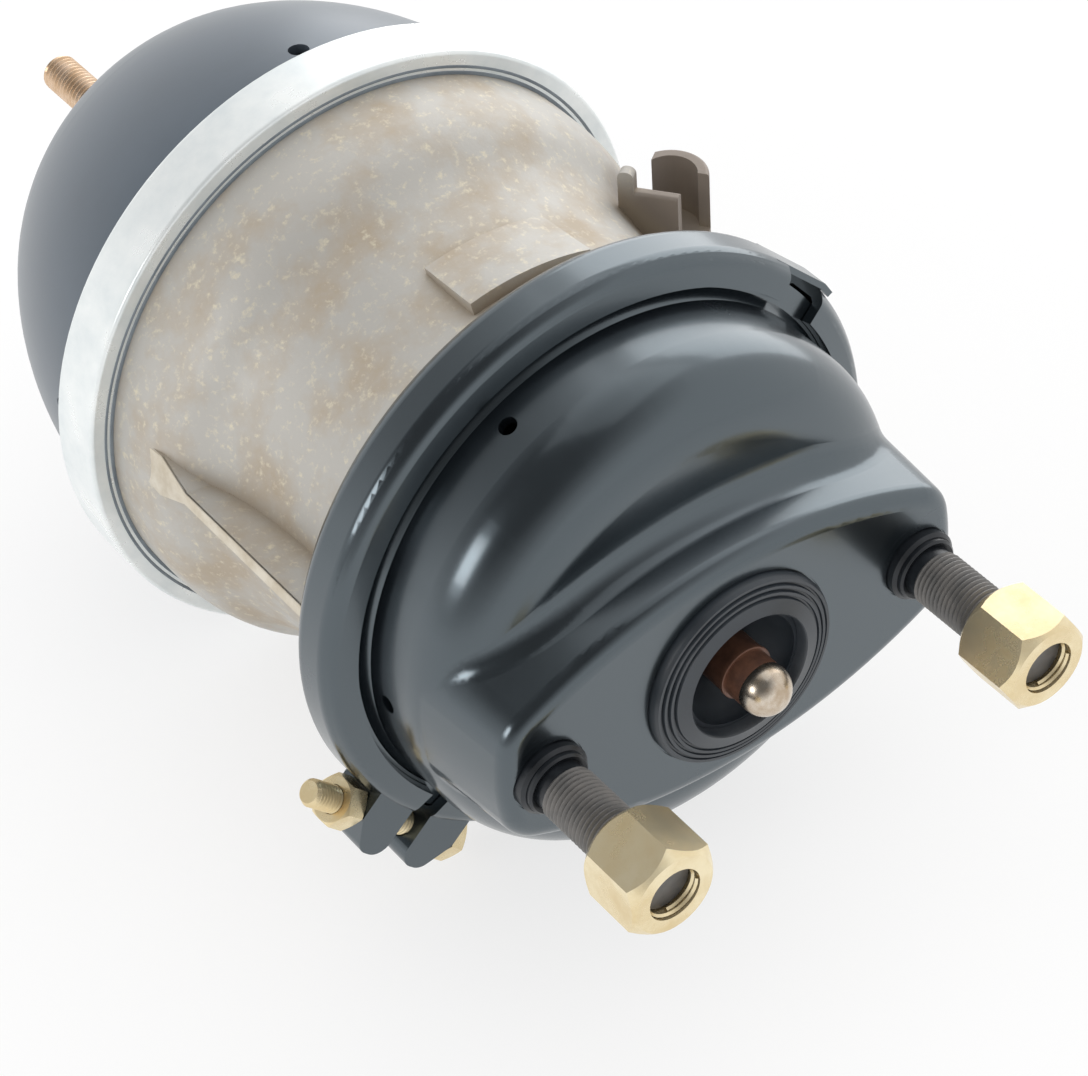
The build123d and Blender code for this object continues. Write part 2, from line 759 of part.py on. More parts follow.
def spring_guide():
    """Flanged tube that centres the power spring on the piston."""
    inner = guide_radius - guide_wall
    foot = guide_radius + guide_foot_width
    foot_rear = piston_rear + guide_wall
    rear = piston_rear + guide_height
    return turned([(inner, piston_rear), (foot, piston_rear), (foot, foot_rear), (guide_radius, foot_rear),
                   (guide_radius, rear), (inner, rear)])


def power_spring():
    """Heavy conical spring held compressed between the piston and the dome."""
    contact = math.radians(power_contact_angle)
    reach = power_wire_radius + seat_clearance
    crown = dome_crown_radius - dome_sheet - reach
    rear_radius = crown * math.cos(contact)
    rear = dome_crown_centre + crown * math.sin(contact) + reach
    return coil(power_wire_radius, power_front_radius, rear_radius, piston_rear, rear, power_turns)


def crimp_ring():
    """Steel ring rolled over the case's flange and the spring housing's flange."""
    inner = crimp_outer_radius - crimp_sheet
    dome_side = dome_radius + seat_clearance
    groove_inner = crimp_inner_radius + crimp_rim_width
    groove_outer = groove_inner + crimp_groove_width
    groove_floor = crimp_front + crimp_groove_depth
    body = turned([(crimp_inner_radius, crimp_front), (groove_inner, crimp_front),
                   (groove_inner, groove_floor), (groove_outer, groove_floor),
                   (groove_outer, crimp_front), (crimp_outer_radius, crimp_front),
                   (crimp_outer_radius, crimp_rear), (dome_side, crimp_rear),
                   (dome_side, dome_flange_rear), (inner, dome_flange_rear),
                   (inner, flange_front), (crimp_inner_radius, flange_front)])
    rims = body.edges().filter_by(GeomType.CIRCLE).group_by(lambda rim: rim.radius)[-1]
    return fillet(rims, crimp_edge_radius)


def dome_form(inset, front):
    """Solid dome on a short skirt, its side and crown drawn as tangent arcs, cut off flat at its seat."""
    side_x = dome_radius - dome_side_radius
    crown_y = dome_crown_centre
    side = dome_side_radius - inset
    crown = dome_crown_radius - inset
    turn = math.degrees(math.atan2(crown_y - dome_centre, -side_x))
    join = (side_x + side * math.cos(math.radians(turn)), dome_centre + side * math.sin(math.radians(turn)))
    seat = dome_seat - inset
    seat_radius = math.sqrt(crown ** 2 - (seat - crown_y) ** 2)
    side_arc = RadiusArc((side_x + side, dome_centre), join, -side)
    crown_arc = RadiusArc(join, (seat_radius, seat), -crown)
    lines = Polyline((seat_radius, seat), (0, seat), (0, front), (dome_radius - inset, front),
                     (dome_radius - inset, dome_centre))
    return spun(make_face(side_arc.edges() + crown_arc.edges() + lines.edges()))


def spring_housing():
    """Dome that holds the power spring, with a flange, four vents and a seat for the release bolt."""
    housing = dome_form(0, dome_front)
    housing += ring(0, crimped_flange_radius, dome_front, dome_flange_rear)
    housing -= dome_form(dome_sheet, dome_front)
    seat_inside = dome_seat - dome_sheet - cut_margin
    housing -= ring(0, release_radius + release_hole_clearance, seat_inside, dome_seat + cut_margin)
    inside = dome_radius - 2 * dome_sheet
    outside = dome_radius + cut_margin
    for angle in dome_vent_angles:
        housing -= radial_plug(dome_vent_radius, inside, outside, dome_vent_position, angle)
    return housing


def release_bolt():
    """Bolt that holds the piston back: its head in the piston's hub, its thread through the dome."""
    head_front = piston_front + release_head_gap
    head_rear = head_front + release_head_height
    return turned([(0, head_front), (release_head_radius, head_front), (release_head_radius, head_rear),
                   (release_radius, head_rear), (release_radius, release_tip - release_chamfer),
                   (release_radius - release_chamfer, release_tip), (0, release_tip)])


def release_washer():
    """Washer under the release nut."""
    return ring(release_radius + release_hole_clearance, release_washer_radius, dome_seat,
                dome_seat + release_washer_thickness)


def release_nut():
    """Nut that holds the release bolt against the dome."""
    seat = dome_seat + release_washer_thickness
    rear = seat + release_nut_height
    hole = ring(0, release_radius + running_clearance, seat - cut_margin, rear + cut_margin)
    return hexagon(release_nut_across_flats, seat, rear) - hole


def model():
    """Every node of the chamber by name."""
    return {
        "service_housing": service_housing(),
        "mounting_studs": mounting_studs(),
        "stud_nuts": stud_nuts(),
        "face_seal": face_seal(),
        "dust_boot": dust_boot(),
        "pushrod": pushrod(),
        "push_plate": push_plate(),
        "service_return_spring": service_return_spring(),
        "service_diaphragm": service_diaphragm(),
        "clamp_half_upper": clamp_half_upper(),
        "clamp_half_lower": clamp_half_lower(),
        "clamp_bolts": clamp_bolts(),
        "clamp_nuts": clamp_nuts(),
        "flange_case": flange_case(),
        "rod_bush": rod_bush(),
        "rod_seals": rod_seals(),
        "parking_rod": parking_rod(),
        "rod_foot": rod_foot(),
        "parking_return_spring": parking_return_spring(),
        "parking_diaphragm": parking_diaphragm(),
        "parking_piston": parking_piston(),
        "spring_guide": spring_guide(),
        "power_spring": power_spring(),
        "crimp_ring": crimp_ring(),
        "spring_housing": spring_housing(),
        "release_bolt": release_bolt(),
        "release_washer": release_washer(),
        "release_nut": release_nut(),
    }


os.makedirs("parts", exist_ok=True)
for name, shape in model().items():
    export_step(shape, f"parts/{name}.step")
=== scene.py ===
"""Looks of a spring brake chamber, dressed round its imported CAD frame.

Everything is in metres in the frame of the CAD part: the origin is the centre of the mounting face,
+X runs along the line of the two studs, +Y along the chamber's axis to the rear dome, and +Z is up.
"""
import logging
import math
from dataclasses import dataclass
from enum import Enum

import bmesh
import bpy
from mathutils import Matrix, Vector


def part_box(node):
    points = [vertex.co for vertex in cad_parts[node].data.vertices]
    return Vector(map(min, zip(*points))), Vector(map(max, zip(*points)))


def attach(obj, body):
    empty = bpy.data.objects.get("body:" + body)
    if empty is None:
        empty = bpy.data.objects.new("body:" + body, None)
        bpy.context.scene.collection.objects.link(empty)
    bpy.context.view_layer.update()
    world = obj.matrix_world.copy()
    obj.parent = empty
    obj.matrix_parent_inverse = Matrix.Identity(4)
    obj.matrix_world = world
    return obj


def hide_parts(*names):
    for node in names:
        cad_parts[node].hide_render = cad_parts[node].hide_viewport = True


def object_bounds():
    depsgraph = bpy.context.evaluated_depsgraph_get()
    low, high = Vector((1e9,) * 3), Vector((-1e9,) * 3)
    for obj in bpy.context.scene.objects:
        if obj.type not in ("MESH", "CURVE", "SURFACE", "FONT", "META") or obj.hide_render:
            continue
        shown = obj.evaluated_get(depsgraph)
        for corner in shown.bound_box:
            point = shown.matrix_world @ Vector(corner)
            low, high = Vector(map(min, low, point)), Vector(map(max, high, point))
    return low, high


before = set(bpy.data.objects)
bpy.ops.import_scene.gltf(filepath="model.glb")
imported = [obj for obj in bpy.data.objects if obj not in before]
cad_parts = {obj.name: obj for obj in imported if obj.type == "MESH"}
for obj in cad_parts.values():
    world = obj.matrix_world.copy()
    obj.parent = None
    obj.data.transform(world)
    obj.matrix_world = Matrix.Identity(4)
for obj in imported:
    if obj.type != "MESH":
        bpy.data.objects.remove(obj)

CAD_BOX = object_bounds()
MM = 0.001
AXIS = Vector((0.0, 1.0, 0.0))
FULL_TURN = 2.0 * math.pi
HEX_SIDES = 6
# Vertices closer than this, in metres, become one; a thread's turns meet a little less exactly.
WELD = 2e-6
THREAD_WELD = 5e-6
# How far, in metres, a flat end's centre may be off its height, and how squarely it faces along Z.
LEVEL_TOLERANCE = 1e-6
FACING_SHARE = 0.9
# Edges that turn by more than this many degrees stay sharp.
SHARP = 32.0
SHARP_HEX = 25.0
SHARP_SCREW = 28.0
SHARP_RUBBER = 50.0
# Where a thread's root, crest, crest and root lie, as shares of its pitch, and the same for a hole's ridge.
THREAD_FLANKS = (0.0, 0.4, 0.55, 1.0)
RIDGE_FLANKS = (0.0, 0.4, 0.5, 0.9)
# How far a solid reaches into its neighbour of the same piece, in millimetres.
OVERLAP = 1.0
LOG = logging.getLogger("brake_chamber")


class Body(Enum):
    """CAD bodies that the pieces ride on."""

    ROOT = "root"
    PISTON = "parking_piston_body"
    PUSHROD = "service_pushrod_body"
    NUT = "release_nut_body"


class Slot(Enum):
    """Material slots of the record."""

    YELLOW_ZINC = "yellow_zinc"
    COPPER_ZINC = "copper_zinc"
    PHOSPHATE = "phosphate"
    BRIGHT_STEEL = "bright_steel"
    RUBBER = "rubber"
    CAST_ALUMINIUM = "cast_aluminium"


def linear(colour: str) -> tuple[float, float, float, float]:
    """Turns an sRGB hex colour to linear.

    Args:
        colour: Six hex digits after a #.

    Returns:
        Linear red, green, blue and an alpha of 1.
    """
    digits = colour.lstrip("#")
    parts = [int(digits[i:i + 2], 16) / 255 for i in (0, 2, 4)]
    curve = [p / 12.92 if p <= 0.04045 else ((p + 0.055) / 1.055) ** 2.4 for p in parts]
    return (*curve, 1.0)


def add_object(name: str, data: bpy.types.ID) -> bpy.types.Object:
    """Makes an object at the origin and puts it in the scene.

    Args:
        name: Name of the object.
        data: Its mesh, lamp or camera.

    Returns:
        The new object.
    """
    thing = bpy.data.objects.new(name, data)
    bpy.context.scene.collection.objects.link(thing)
    return thing


def add_node(tree: bpy.types.NodeTree, kind: str, inputs: dict | None = None,
             **settings) -> bpy.types.Node:
    """Adds a shader node.

    Args:
        tree: Node tree that gets the node.
        kind: Blender's class name of the node.
        inputs: Socket name or number to a value, or to an output socket to link from.
        **settings: Attributes set on the node.

    Returns:
        The new node.
    """
    node = tree.nodes.new(kind)
    for name, value in settings.items():
        setattr(node, name, value)
    for name, value in (inputs or {}).items():
        if isinstance(value, bpy.types.NodeSocket):
            tree.links.new(value, node.inputs[name])
        else:
            node.inputs[name].default_value = value
    return node


def add_noise(tree: bpy.types.NodeTree, place_at: bpy.types.NodeSocket, size_mm: float, detail: float,
              roughness: float = 0.5) -> bpy.types.NodeSocket:
    """Adds noise whose grain has a real size.

    Args:
        tree: Node tree that gets the node.
        place_at: Object coordinates.
        size_mm: Size of the grain in millimetres.
        detail: Number of finer layers.
        roughness: Strength of each layer beside the one before.

    Returns:
        The noise's output socket.
    """
    return add_node(tree, "ShaderNodeTexNoise", {
        "Vector": place_at, "Scale": 1.0 / (size_mm * MM), "Detail": detail,
        "Roughness": roughness}).outputs["Fac"]


def add_range(tree: bpy.types.NodeTree, value: bpy.types.NodeSocket, span: tuple,
              to_span: tuple = (0.0, 1.0)) -> bpy.types.NodeSocket:
    """Maps a value from one span to another, and holds it within the second.

    Args:
        tree: Node tree that gets the node.
        value: The value's output socket.
        span: Low and high ends of the value.
        to_span: What the ends become, as numbers or output sockets.

    Returns:
        The mapped value's output socket.
    """
    return add_node(tree, "ShaderNodeMapRange", {
        "Value": value, "From Min": span[0], "From Max": span[1],
        "To Min": to_span[0], "To Max": to_span[1]}).outputs["Result"]


def add_mix(tree: bpy.types.NodeTree, share: bpy.types.NodeSocket, low: tuple | bpy.types.NodeSocket,
            high: tuple | bpy.types.NodeSocket) -> bpy.types.NodeSocket:
    """Mixes two colours.

    Args:
        tree: Node tree that gets the node.
        share: Share of the second colour.
        low: First colour, linear or as an output socket.
        high: Second colour, linear or as an output socket.

    Returns:
        The mixed colour's output socket.
    """
    return add_node(tree, "ShaderNodeMix", {"Factor": share, "A": low, "B": high},
                    data_type="RGBA").outputs["Result"]


@dataclass(frozen=True)
class Finish:
    """A surface: two colours in patches, painted shade in the hollows and round one place, and a fine bump
    over a coarse one.

    Sizes, depths and places are in millimetres. A range is a span of the noise over which a colour comes in.
    """

    name: str
    colour: str
    patch_colour: str
    patch_mm: float
    roughness: tuple[float, float]
    grain_mm: float
    grain_depth_mm: float
    metallic: float = 0.0
    patch_range: tuple[float, float] = (0.35, 0.65)
    patch_detail: float = 6.0
    patch_roughness: float = 0.62
    gloss_range: tuple[float, float] = (0.3, 0.7)
    speck_colour: str = ""
    speck_mm: float = 3.0
    speck_range: tuple[float, float] = (0.58, 0.7)
    speck_detail: float = 4.0
    speck_roughness: float = 0.7
    grain_detail: float = 3.0
    wave_mm: float = 60.0
    wave_depth_mm: float = 0.0
    wave_detail: float = 1.5
    coat: float = 0.0
    coat_roughness: float = 0.1
    specular: float = 0.5
    tint: str = "#ffffff"
    ior: float = 1.5
    # Painted shade in the inner corners: its colour, reach, span and samples.
    corner_shade_colour: str = ""
    hollow_mm: float = 7.0
    hollow_range: tuple[float, float] = (0.45, 0.95)
    hollow_samples: int = 8
    # Painted shade round one place: its colour, centre and the span over which it fades out.
    shade_colour: str = ""
    shade_place: tuple[float, float, float] = (0.0, 0.0, 0.0)
    shade_mm: tuple[float, float] = (0.0, 1.0)

    def build(self) -> bpy.types.Material:
        """Makes the material.

        Returns:
            The node material, ready for a material slot.
        """
        material = bpy.data.materials.new(self.name)
        material.use_nodes = True
        tree = material.node_tree
        tree.nodes.clear()
        place_at = add_node(tree, "ShaderNodeTexCoord").outputs["Object"]
        patches = add_noise(tree, place_at, self.patch_mm, self.patch_detail, self.patch_roughness)
        shader = add_node(tree, "ShaderNodeBsdfPrincipled", {
            "Base Color": self.colours(tree, place_at, patches),
            "Roughness": add_range(tree, patches, self.gloss_range, self.roughness),
            "Metallic": self.metallic, "IOR": self.ior, "Specular IOR Level": self.specular,
            "Specular Tint": linear(self.tint), "Coat Weight": self.coat,
            "Coat Roughness": self.coat_roughness, "Normal": self.bumps(tree, place_at)})
        add_node(tree, "ShaderNodeOutputMaterial", {"Surface": shader.outputs["BSDF"]})
        return material

    def colours(self, tree: bpy.types.NodeTree, place_at: bpy.types.NodeSocket,
                patches: bpy.types.NodeSocket) -> bpy.types.NodeSocket:
        """Mixes the finish's colours.

        Args:
            tree: Node tree of the material.
            place_at: Object coordinates.
            patches: Noise that says where the patch colour lies.

        Returns:
            The colour's output socket.
        """
        mask = add_range(tree, patches, self.patch_range)
        colour = add_mix(tree, mask, linear(self.colour), linear(self.patch_colour))
        if self.speck_colour:
            specks = add_noise(tree, place_at, self.speck_mm, self.speck_detail, self.speck_roughness)
            share = add_range(tree, specks, self.speck_range)
            colour = add_mix(tree, share, colour, linear(self.speck_colour))
        # Painted shade round one place.
        if self.shade_colour:
            colour = self.shade(tree, place_at, colour)
        # Painted shade in the inner corners.
        if self.corner_shade_colour:
            colour = self.darken(tree, colour)
        return colour

    def shade(self, tree: bpy.types.NodeTree, place_at: bpy.types.NodeSocket,
              colour: bpy.types.NodeSocket) -> bpy.types.NodeSocket:
        """Paints shade round one place: the shade colour near it, fading to the usual colour further out.

        Args:
            tree: Node tree of the material.
            place_at: Object coordinates.
            colour: The usual colour.

        Returns:
            The colour's output socket.
        """
        centre = tuple(value * MM for value in self.shade_place)
        away = add_node(tree, "ShaderNodeVectorMath", {0: place_at, 1: centre},
                        operation="DISTANCE").outputs["Value"]
        share = add_range(tree, away, tuple(value * MM for value in self.shade_mm))
        return add_mix(tree, share, linear(self.shade_colour), colour)

    def darken(self, tree: bpy.types.NodeTree, colour: bpy.types.NodeSocket) -> bpy.types.NodeSocket:
        """Paints shade into the inner corners, darker where the surface is more closed in.

        Args:
            tree: Node tree of the material.
            colour: The colour without the painted shade.

        Returns:
            The colour's output socket.
        """
        open_share = add_node(tree, "ShaderNodeAmbientOcclusion", {"Distance": self.hollow_mm * MM},
                              samples=self.hollow_samples, only_local=True).outputs["AO"]
        unshaded = add_range(tree, open_share, self.hollow_range)
        return add_mix(tree, unshaded, linear(self.corner_shade_colour), colour)

    def bumps(self, tree: bpy.types.NodeTree, place_at: bpy.types.NodeSocket) -> bpy.types.NodeSocket:
        """Adds the fine grain and, where the finish has one, the coarse wave.

        Args:
            tree: Node tree of the material.
            place_at: Object coordinates.

        Returns:
            The normal's output socket.
        """
        grain = add_noise(tree, place_at, self.grain_mm, self.grain_detail)
        normal = add_node(tree, "ShaderNodeBump", {
            "Height": grain, "Distance": self.grain_depth_mm * MM, "Strength": 1.0}).outputs["Normal"]
        if not self.wave_depth_mm:
            return normal
        wave = add_noise(tree, place_at, self.wave_mm, self.wave_detail)
        return add_node(tree, "ShaderNodeBump", {
            "Height": wave, "Distance": self.wave_depth_mm * MM, "Strength": 1.0,
            "Normal": normal}).outputs["Normal"]


@dataclass(frozen=True)
class Palette:
    """The finishes of the chamber, each named for its material and how its surface was made."""

    # A thin glossy film: deep black in the hollows, with soft bluish reflections of all that is bright.
    enamel: Finish = Finish(
        "electrocoated black enamel on pressed steel", "#0c0f12", "#12161a", patch_mm=40.0,
        roughness=(0.2, 0.28), grain_mm=3.0, grain_depth_mm=0.005, wave_mm=55.0, wave_depth_mm=0.25,
        coat=0.3, coat_roughness=0.1, specular=0.9, ior=1.85, tint="#cbdce6")
    # A thicker, duller film with a fine orange peel, which spreads its highlight wide.
    satin: Finish = Finish(
        "powder coated steel", "#464d55", "#4e565f", patch_mm=50.0, roughness=(0.36, 0.44), grain_mm=1.1,
        grain_depth_mm=0.01, coat=0.5, coat_roughness=0.35, specular=0.9, tint="#c9dcec")
    # Raw casting: grey with warm stained clouds and pale grains, with painted shade in its inner corners and
    # round the pocket.
    casting: Finish = Finish(
        "pressure die cast aluminium", "#bbb8b2", "#b5a896", patch_mm=24.0, roughness=(0.45, 0.62),
        grain_mm=1.1, grain_depth_mm=0.05, metallic=0.3, patch_range=(0.44, 0.66),
        speck_colour="#d6ceb9", speck_mm=2.6, speck_range=(0.55, 0.72), wave_mm=9.0, wave_depth_mm=0.16,
        corner_shade_colour="#a29686", shade_colour="#8d837a", shade_place=(76.0, 121.0, 42.0),
        shade_mm=(15.0, 22.0))
    # The rib's crest, paler than the casting: partly rubbed bare metal, partly a painted highlight along the
    # crest.
    crest_wear_and_highlight: Finish = Finish(
        "cast aluminium with wear and painted highlight", "#d8d0c0", "#c6bba7", patch_mm=6.0, roughness=(0.35, 0.5),
        grain_mm=0.9, grain_depth_mm=0.03, metallic=0.4)
    # Bright electroplate, almost white, with faint duller clouds.
    white_zinc: Finish = Finish(
        "clear passivated zinc plate", "#f2f5f4", "#e0e6e7", patch_mm=18.0, roughness=(0.24, 0.38),
        grain_mm=1.2, grain_depth_mm=0.004, metallic=0.45)
    # The same plate under a pale gold film, deeper where the film is thick.
    yellow_zinc: Finish = Finish(
        "yellow passivated zinc plate", "#f4e6c2", "#e2cda0", patch_mm=14.0, roughness=(0.2, 0.32),
        grain_mm=0.8, grain_depth_mm=0.003, metallic=0.85)
    # A warmer, coppery film in small patches along the thread.
    copper_zinc: Finish = Finish(
        "bronze passivated zinc plate", "#ebd0b6", "#d8b794", patch_mm=6.0, roughness=(0.22, 0.36),
        grain_mm=0.6, grain_depth_mm=0.01, metallic=0.8)
    # Dull dark grey crystals that hold oil, with a weak sheen on the thread's crests.
    phosphate: Finish = Finish(
        "manganese phosphated steel", "#686766", "#7b7875", patch_mm=5.0, roughness=(0.34, 0.48),
        grain_mm=0.5, grain_depth_mm=0.02, metallic=0.45)
    # Near black, a little smoother than the studs, so that only the steps' edges catch light.
    collar: Finish = Finish(
        "black oxide on forged steel", "#171a1e", "#24282d", patch_mm=6.0, roughness=(0.26, 0.38),
        grain_mm=0.8, grain_depth_mm=0.01, metallic=0.2)
    # Bare metal with a clear small highlight, and faint warm clouds painted in for the brown reflections on
    # the ball.
    steel: Finish = Finish(
        "turned and polished steel", "#ddd3c5", "#bba993", patch_mm=5.0, roughness=(0.2, 0.32),
        grain_mm=0.5, grain_depth_mm=0.004, metallic=1.0)
    # The same steel behind the ball, painted brown for the brown reflection and shade that it shows, darker
    # in random patches.
    rod_steel: Finish = Finish(
        "steel with painted brown reflection", "#7b5644", "#5c4034", patch_mm=5.0, roughness=(0.3, 0.42), grain_mm=0.5,
        grain_depth_mm=0.006, metallic=0.3)
    # Matt grey, for the thin rings that draw a dark line along each edge of the rolled ring.
    grey_line: Finish = Finish(
        "matt grey line", "#6f7880", "#838c93", patch_mm=9.0, roughness=(0.5, 0.6), grain_mm=1.0,
        grain_depth_mm=0.02)
    # Soft bluish black with a broad dull sheen on the lips.
    rubber: Finish = Finish(
        "moulded nitrile rubber", "#272d34", "#31383f", patch_mm=12.0, roughness=(0.36, 0.48),
        grain_mm=0.6, grain_depth_mm=0.012, specular=0.7)


class Workshop:
    """Holds the built materials and turns bmeshes into pieces."""

    def __init__(self, palette: Palette) -> None:
        """Builds every material of the palette.

        Args:
            palette: Finishes of the chamber.
        """
        self.materials = {name: getattr(palette, name).build() for name in palette.__dataclass_fields__}

    def dress_node(self, node: str, finish: str) -> None:
        """Gives a CAD node its finish.

        Args:
            node: Name of the node.
            finish: Name of the finish in the palette.
        """
        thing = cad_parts[node]
        material = self.materials[finish]
        if not thing.material_slots:
            thing.data.materials.append(material)
        for slot in thing.material_slots:
            slot.material = material
        LOG.info("dressed %s with %s", node, material.name)

    def piece(self, name: str, mesh: bmesh.types.BMesh, finish: str, body: Body,
              replaces: tuple[str, ...] = (), sharp_degrees: float = SHARP) -> bpy.types.Object:
        """Turns a bmesh into a piece that rides on a body.

        Args:
            name: Name of the piece.
            mesh: The shape, in place; it is freed.
            finish: Name of the finish in the palette.
            body: Body that carries the piece.
            replaces: CAD nodes that the piece stands for.
            sharp_degrees: Edges that turn by more than this stay sharp.

        Returns:
            The new object.
        """
        bmesh.ops.remove_doubles(mesh, verts=mesh.verts, dist=WELD)
        bmesh.ops.recalc_face_normals(mesh, faces=mesh.faces)
        data = bpy.data.meshes.new(name)
        mesh.to_mesh(data)
        mesh.free()
        data.shade_smooth()
        data.set_sharp_from_angle(angle=math.radians(sharp_degrees))
        thing = add_object(name, data)
        data.materials.append(self.materials[finish])
        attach(thing, body.value)
        if replaces:
            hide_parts(*replaces)
        LOG.info("made %s, %d faces", name, len(data.polygons))
        return thing


def lathe(mesh: bmesh.types.BMesh, points: list[tuple[float, float]], closed: bool = False,
          steps: int = 96) -> list[bmesh.types.BMVert]:
    """Turns a section about the chamber's axis.

    Args:
        mesh: Mesh that gets the shape.
        points: Corners as (radius, position) in millimetres.
        closed: Whether the last corner joins the first, as in a ring.
        steps: Number of facets round the axis.

    Returns:
        The new vertices.
    """
    before = set(mesh.verts)
    corners = [mesh.verts.new((radius * MM, position * MM, 0.0)) for radius, position in points]
    pairs = list(zip(corners, corners[1:]))
    if closed:
        pairs.append((corners[-1], corners[0]))
    edges = [mesh.edges.new(pair) for pair in pairs]
    bmesh.ops.spin(mesh, geom=corners + edges, cent=(0, 0, 0), axis=AXIS, angle=FULL_TURN, steps=steps,
                   use_merge=True)
    return [vert for vert in mesh.verts if vert not in before]


def trim(mesh: bmesh.types.BMesh, point: Vector, outwards: Vector) -> list[bmesh.types.BMEdge]:
    """Cuts a mesh at a plane and takes away what lies beyond it.

    Args:
        mesh: The shape.
        point: A point on the plane.
        outwards: The plane's normal, towards the side that goes.

    Returns:
        The edges along the cut.
    """
    everything = mesh.verts[:] + mesh.edges[:] + mesh.faces[:]
    cut = bmesh.ops.bisect_plane(mesh, geom=everything, plane_co=point, plane_no=outwards, clear_outer=True)
    return [part for part in cut["geom_cut"] if isinstance(part, bmesh.types.BMEdge)]


@dataclass(frozen=True)
class Thread:
    """A 60 degree screw thread, in millimetres."""

    crest: float
    root: float
    pitch: float
    chamfer: float = 0.8
    steps: int = 28

    def outer(self, low: float, high: float) -> bmesh.types.BMesh:
        """Threaded rod about the chamber's axis, chamfered and closed at both ends.

        Args:
            low: Position of its lower end.
            high: Position of its upper end.

        Returns:
            The rod's mesh.
        """
        mesh = bmesh.new()
        section = zip((self.root, self.crest, self.crest, self.root), THREAD_FLANKS)
        start = low - self.pitch
        corners = [mesh.verts.new((radius * MM, (start + share * self.pitch) * MM, 0.0))
                   for radius, share in section]
        edges = [mesh.edges.new(pair) for pair in zip(corners, corners[1:])]
        turns = math.ceil((high - low) / self.pitch) + 2
        bmesh.ops.spin(mesh, geom=corners + edges, cent=(0, 0, 0), axis=AXIS, angle=FULL_TURN * turns,
                       steps=self.steps * turns, dvec=AXIS * (self.pitch * MM / self.steps))
        bmesh.ops.remove_doubles(mesh, verts=mesh.verts, dist=THREAD_WELD)
        for end, way in ((low, -1.0), (high, 1.0)):
            bmesh.ops.edgeloop_fill(mesh, edges=trim(mesh, AXIS * (end * MM), AXIS * way))
        for vert in mesh.verts:
            depth = min(vert.co.y - low * MM, high * MM - vert.co.y)
            self.hold_within(vert, (self.crest - max(0.0, self.chamfer - depth / MM)) * MM)
        return mesh

    def inner(self, low: float, high: float) -> bmesh.types.BMesh:
        """Ridge of a threaded hole about the chamber's axis, as a closed coil.

        Args:
            low: Position of its lower end.
            high: Position of its upper end.

        Returns:
            The ridge's mesh.
        """
        mesh = bmesh.new()
        section = zip((self.crest, self.root, self.root, self.crest), RIDGE_FLANKS)
        corners = [mesh.verts.new((radius * MM, (low + share * self.pitch) * MM, 0.0))
                   for radius, share in section]
        face = mesh.faces.new(corners)
        turns = (high - low) / self.pitch - 1.0
        steps = round(self.steps * turns)
        bmesh.ops.spin(mesh, geom=[face], cent=(0, 0, 0), axis=AXIS, angle=FULL_TURN * turns, steps=steps,
                       dvec=AXIS * ((high - low - self.pitch) * MM / steps))
        return mesh

    @staticmethod
    def hold_within(vert: bmesh.types.BMVert, limit: float) -> None:
        """Draws a vertex in to a distance from the axis.

        Args:
            vert: The vertex.
            limit: Its greatest distance, in metres.
        """
        reach = math.hypot(vert.co.x, vert.co.z)
        if reach > limit:
            vert.co.x *= limit / reach
            vert.co.z *= limit / reach


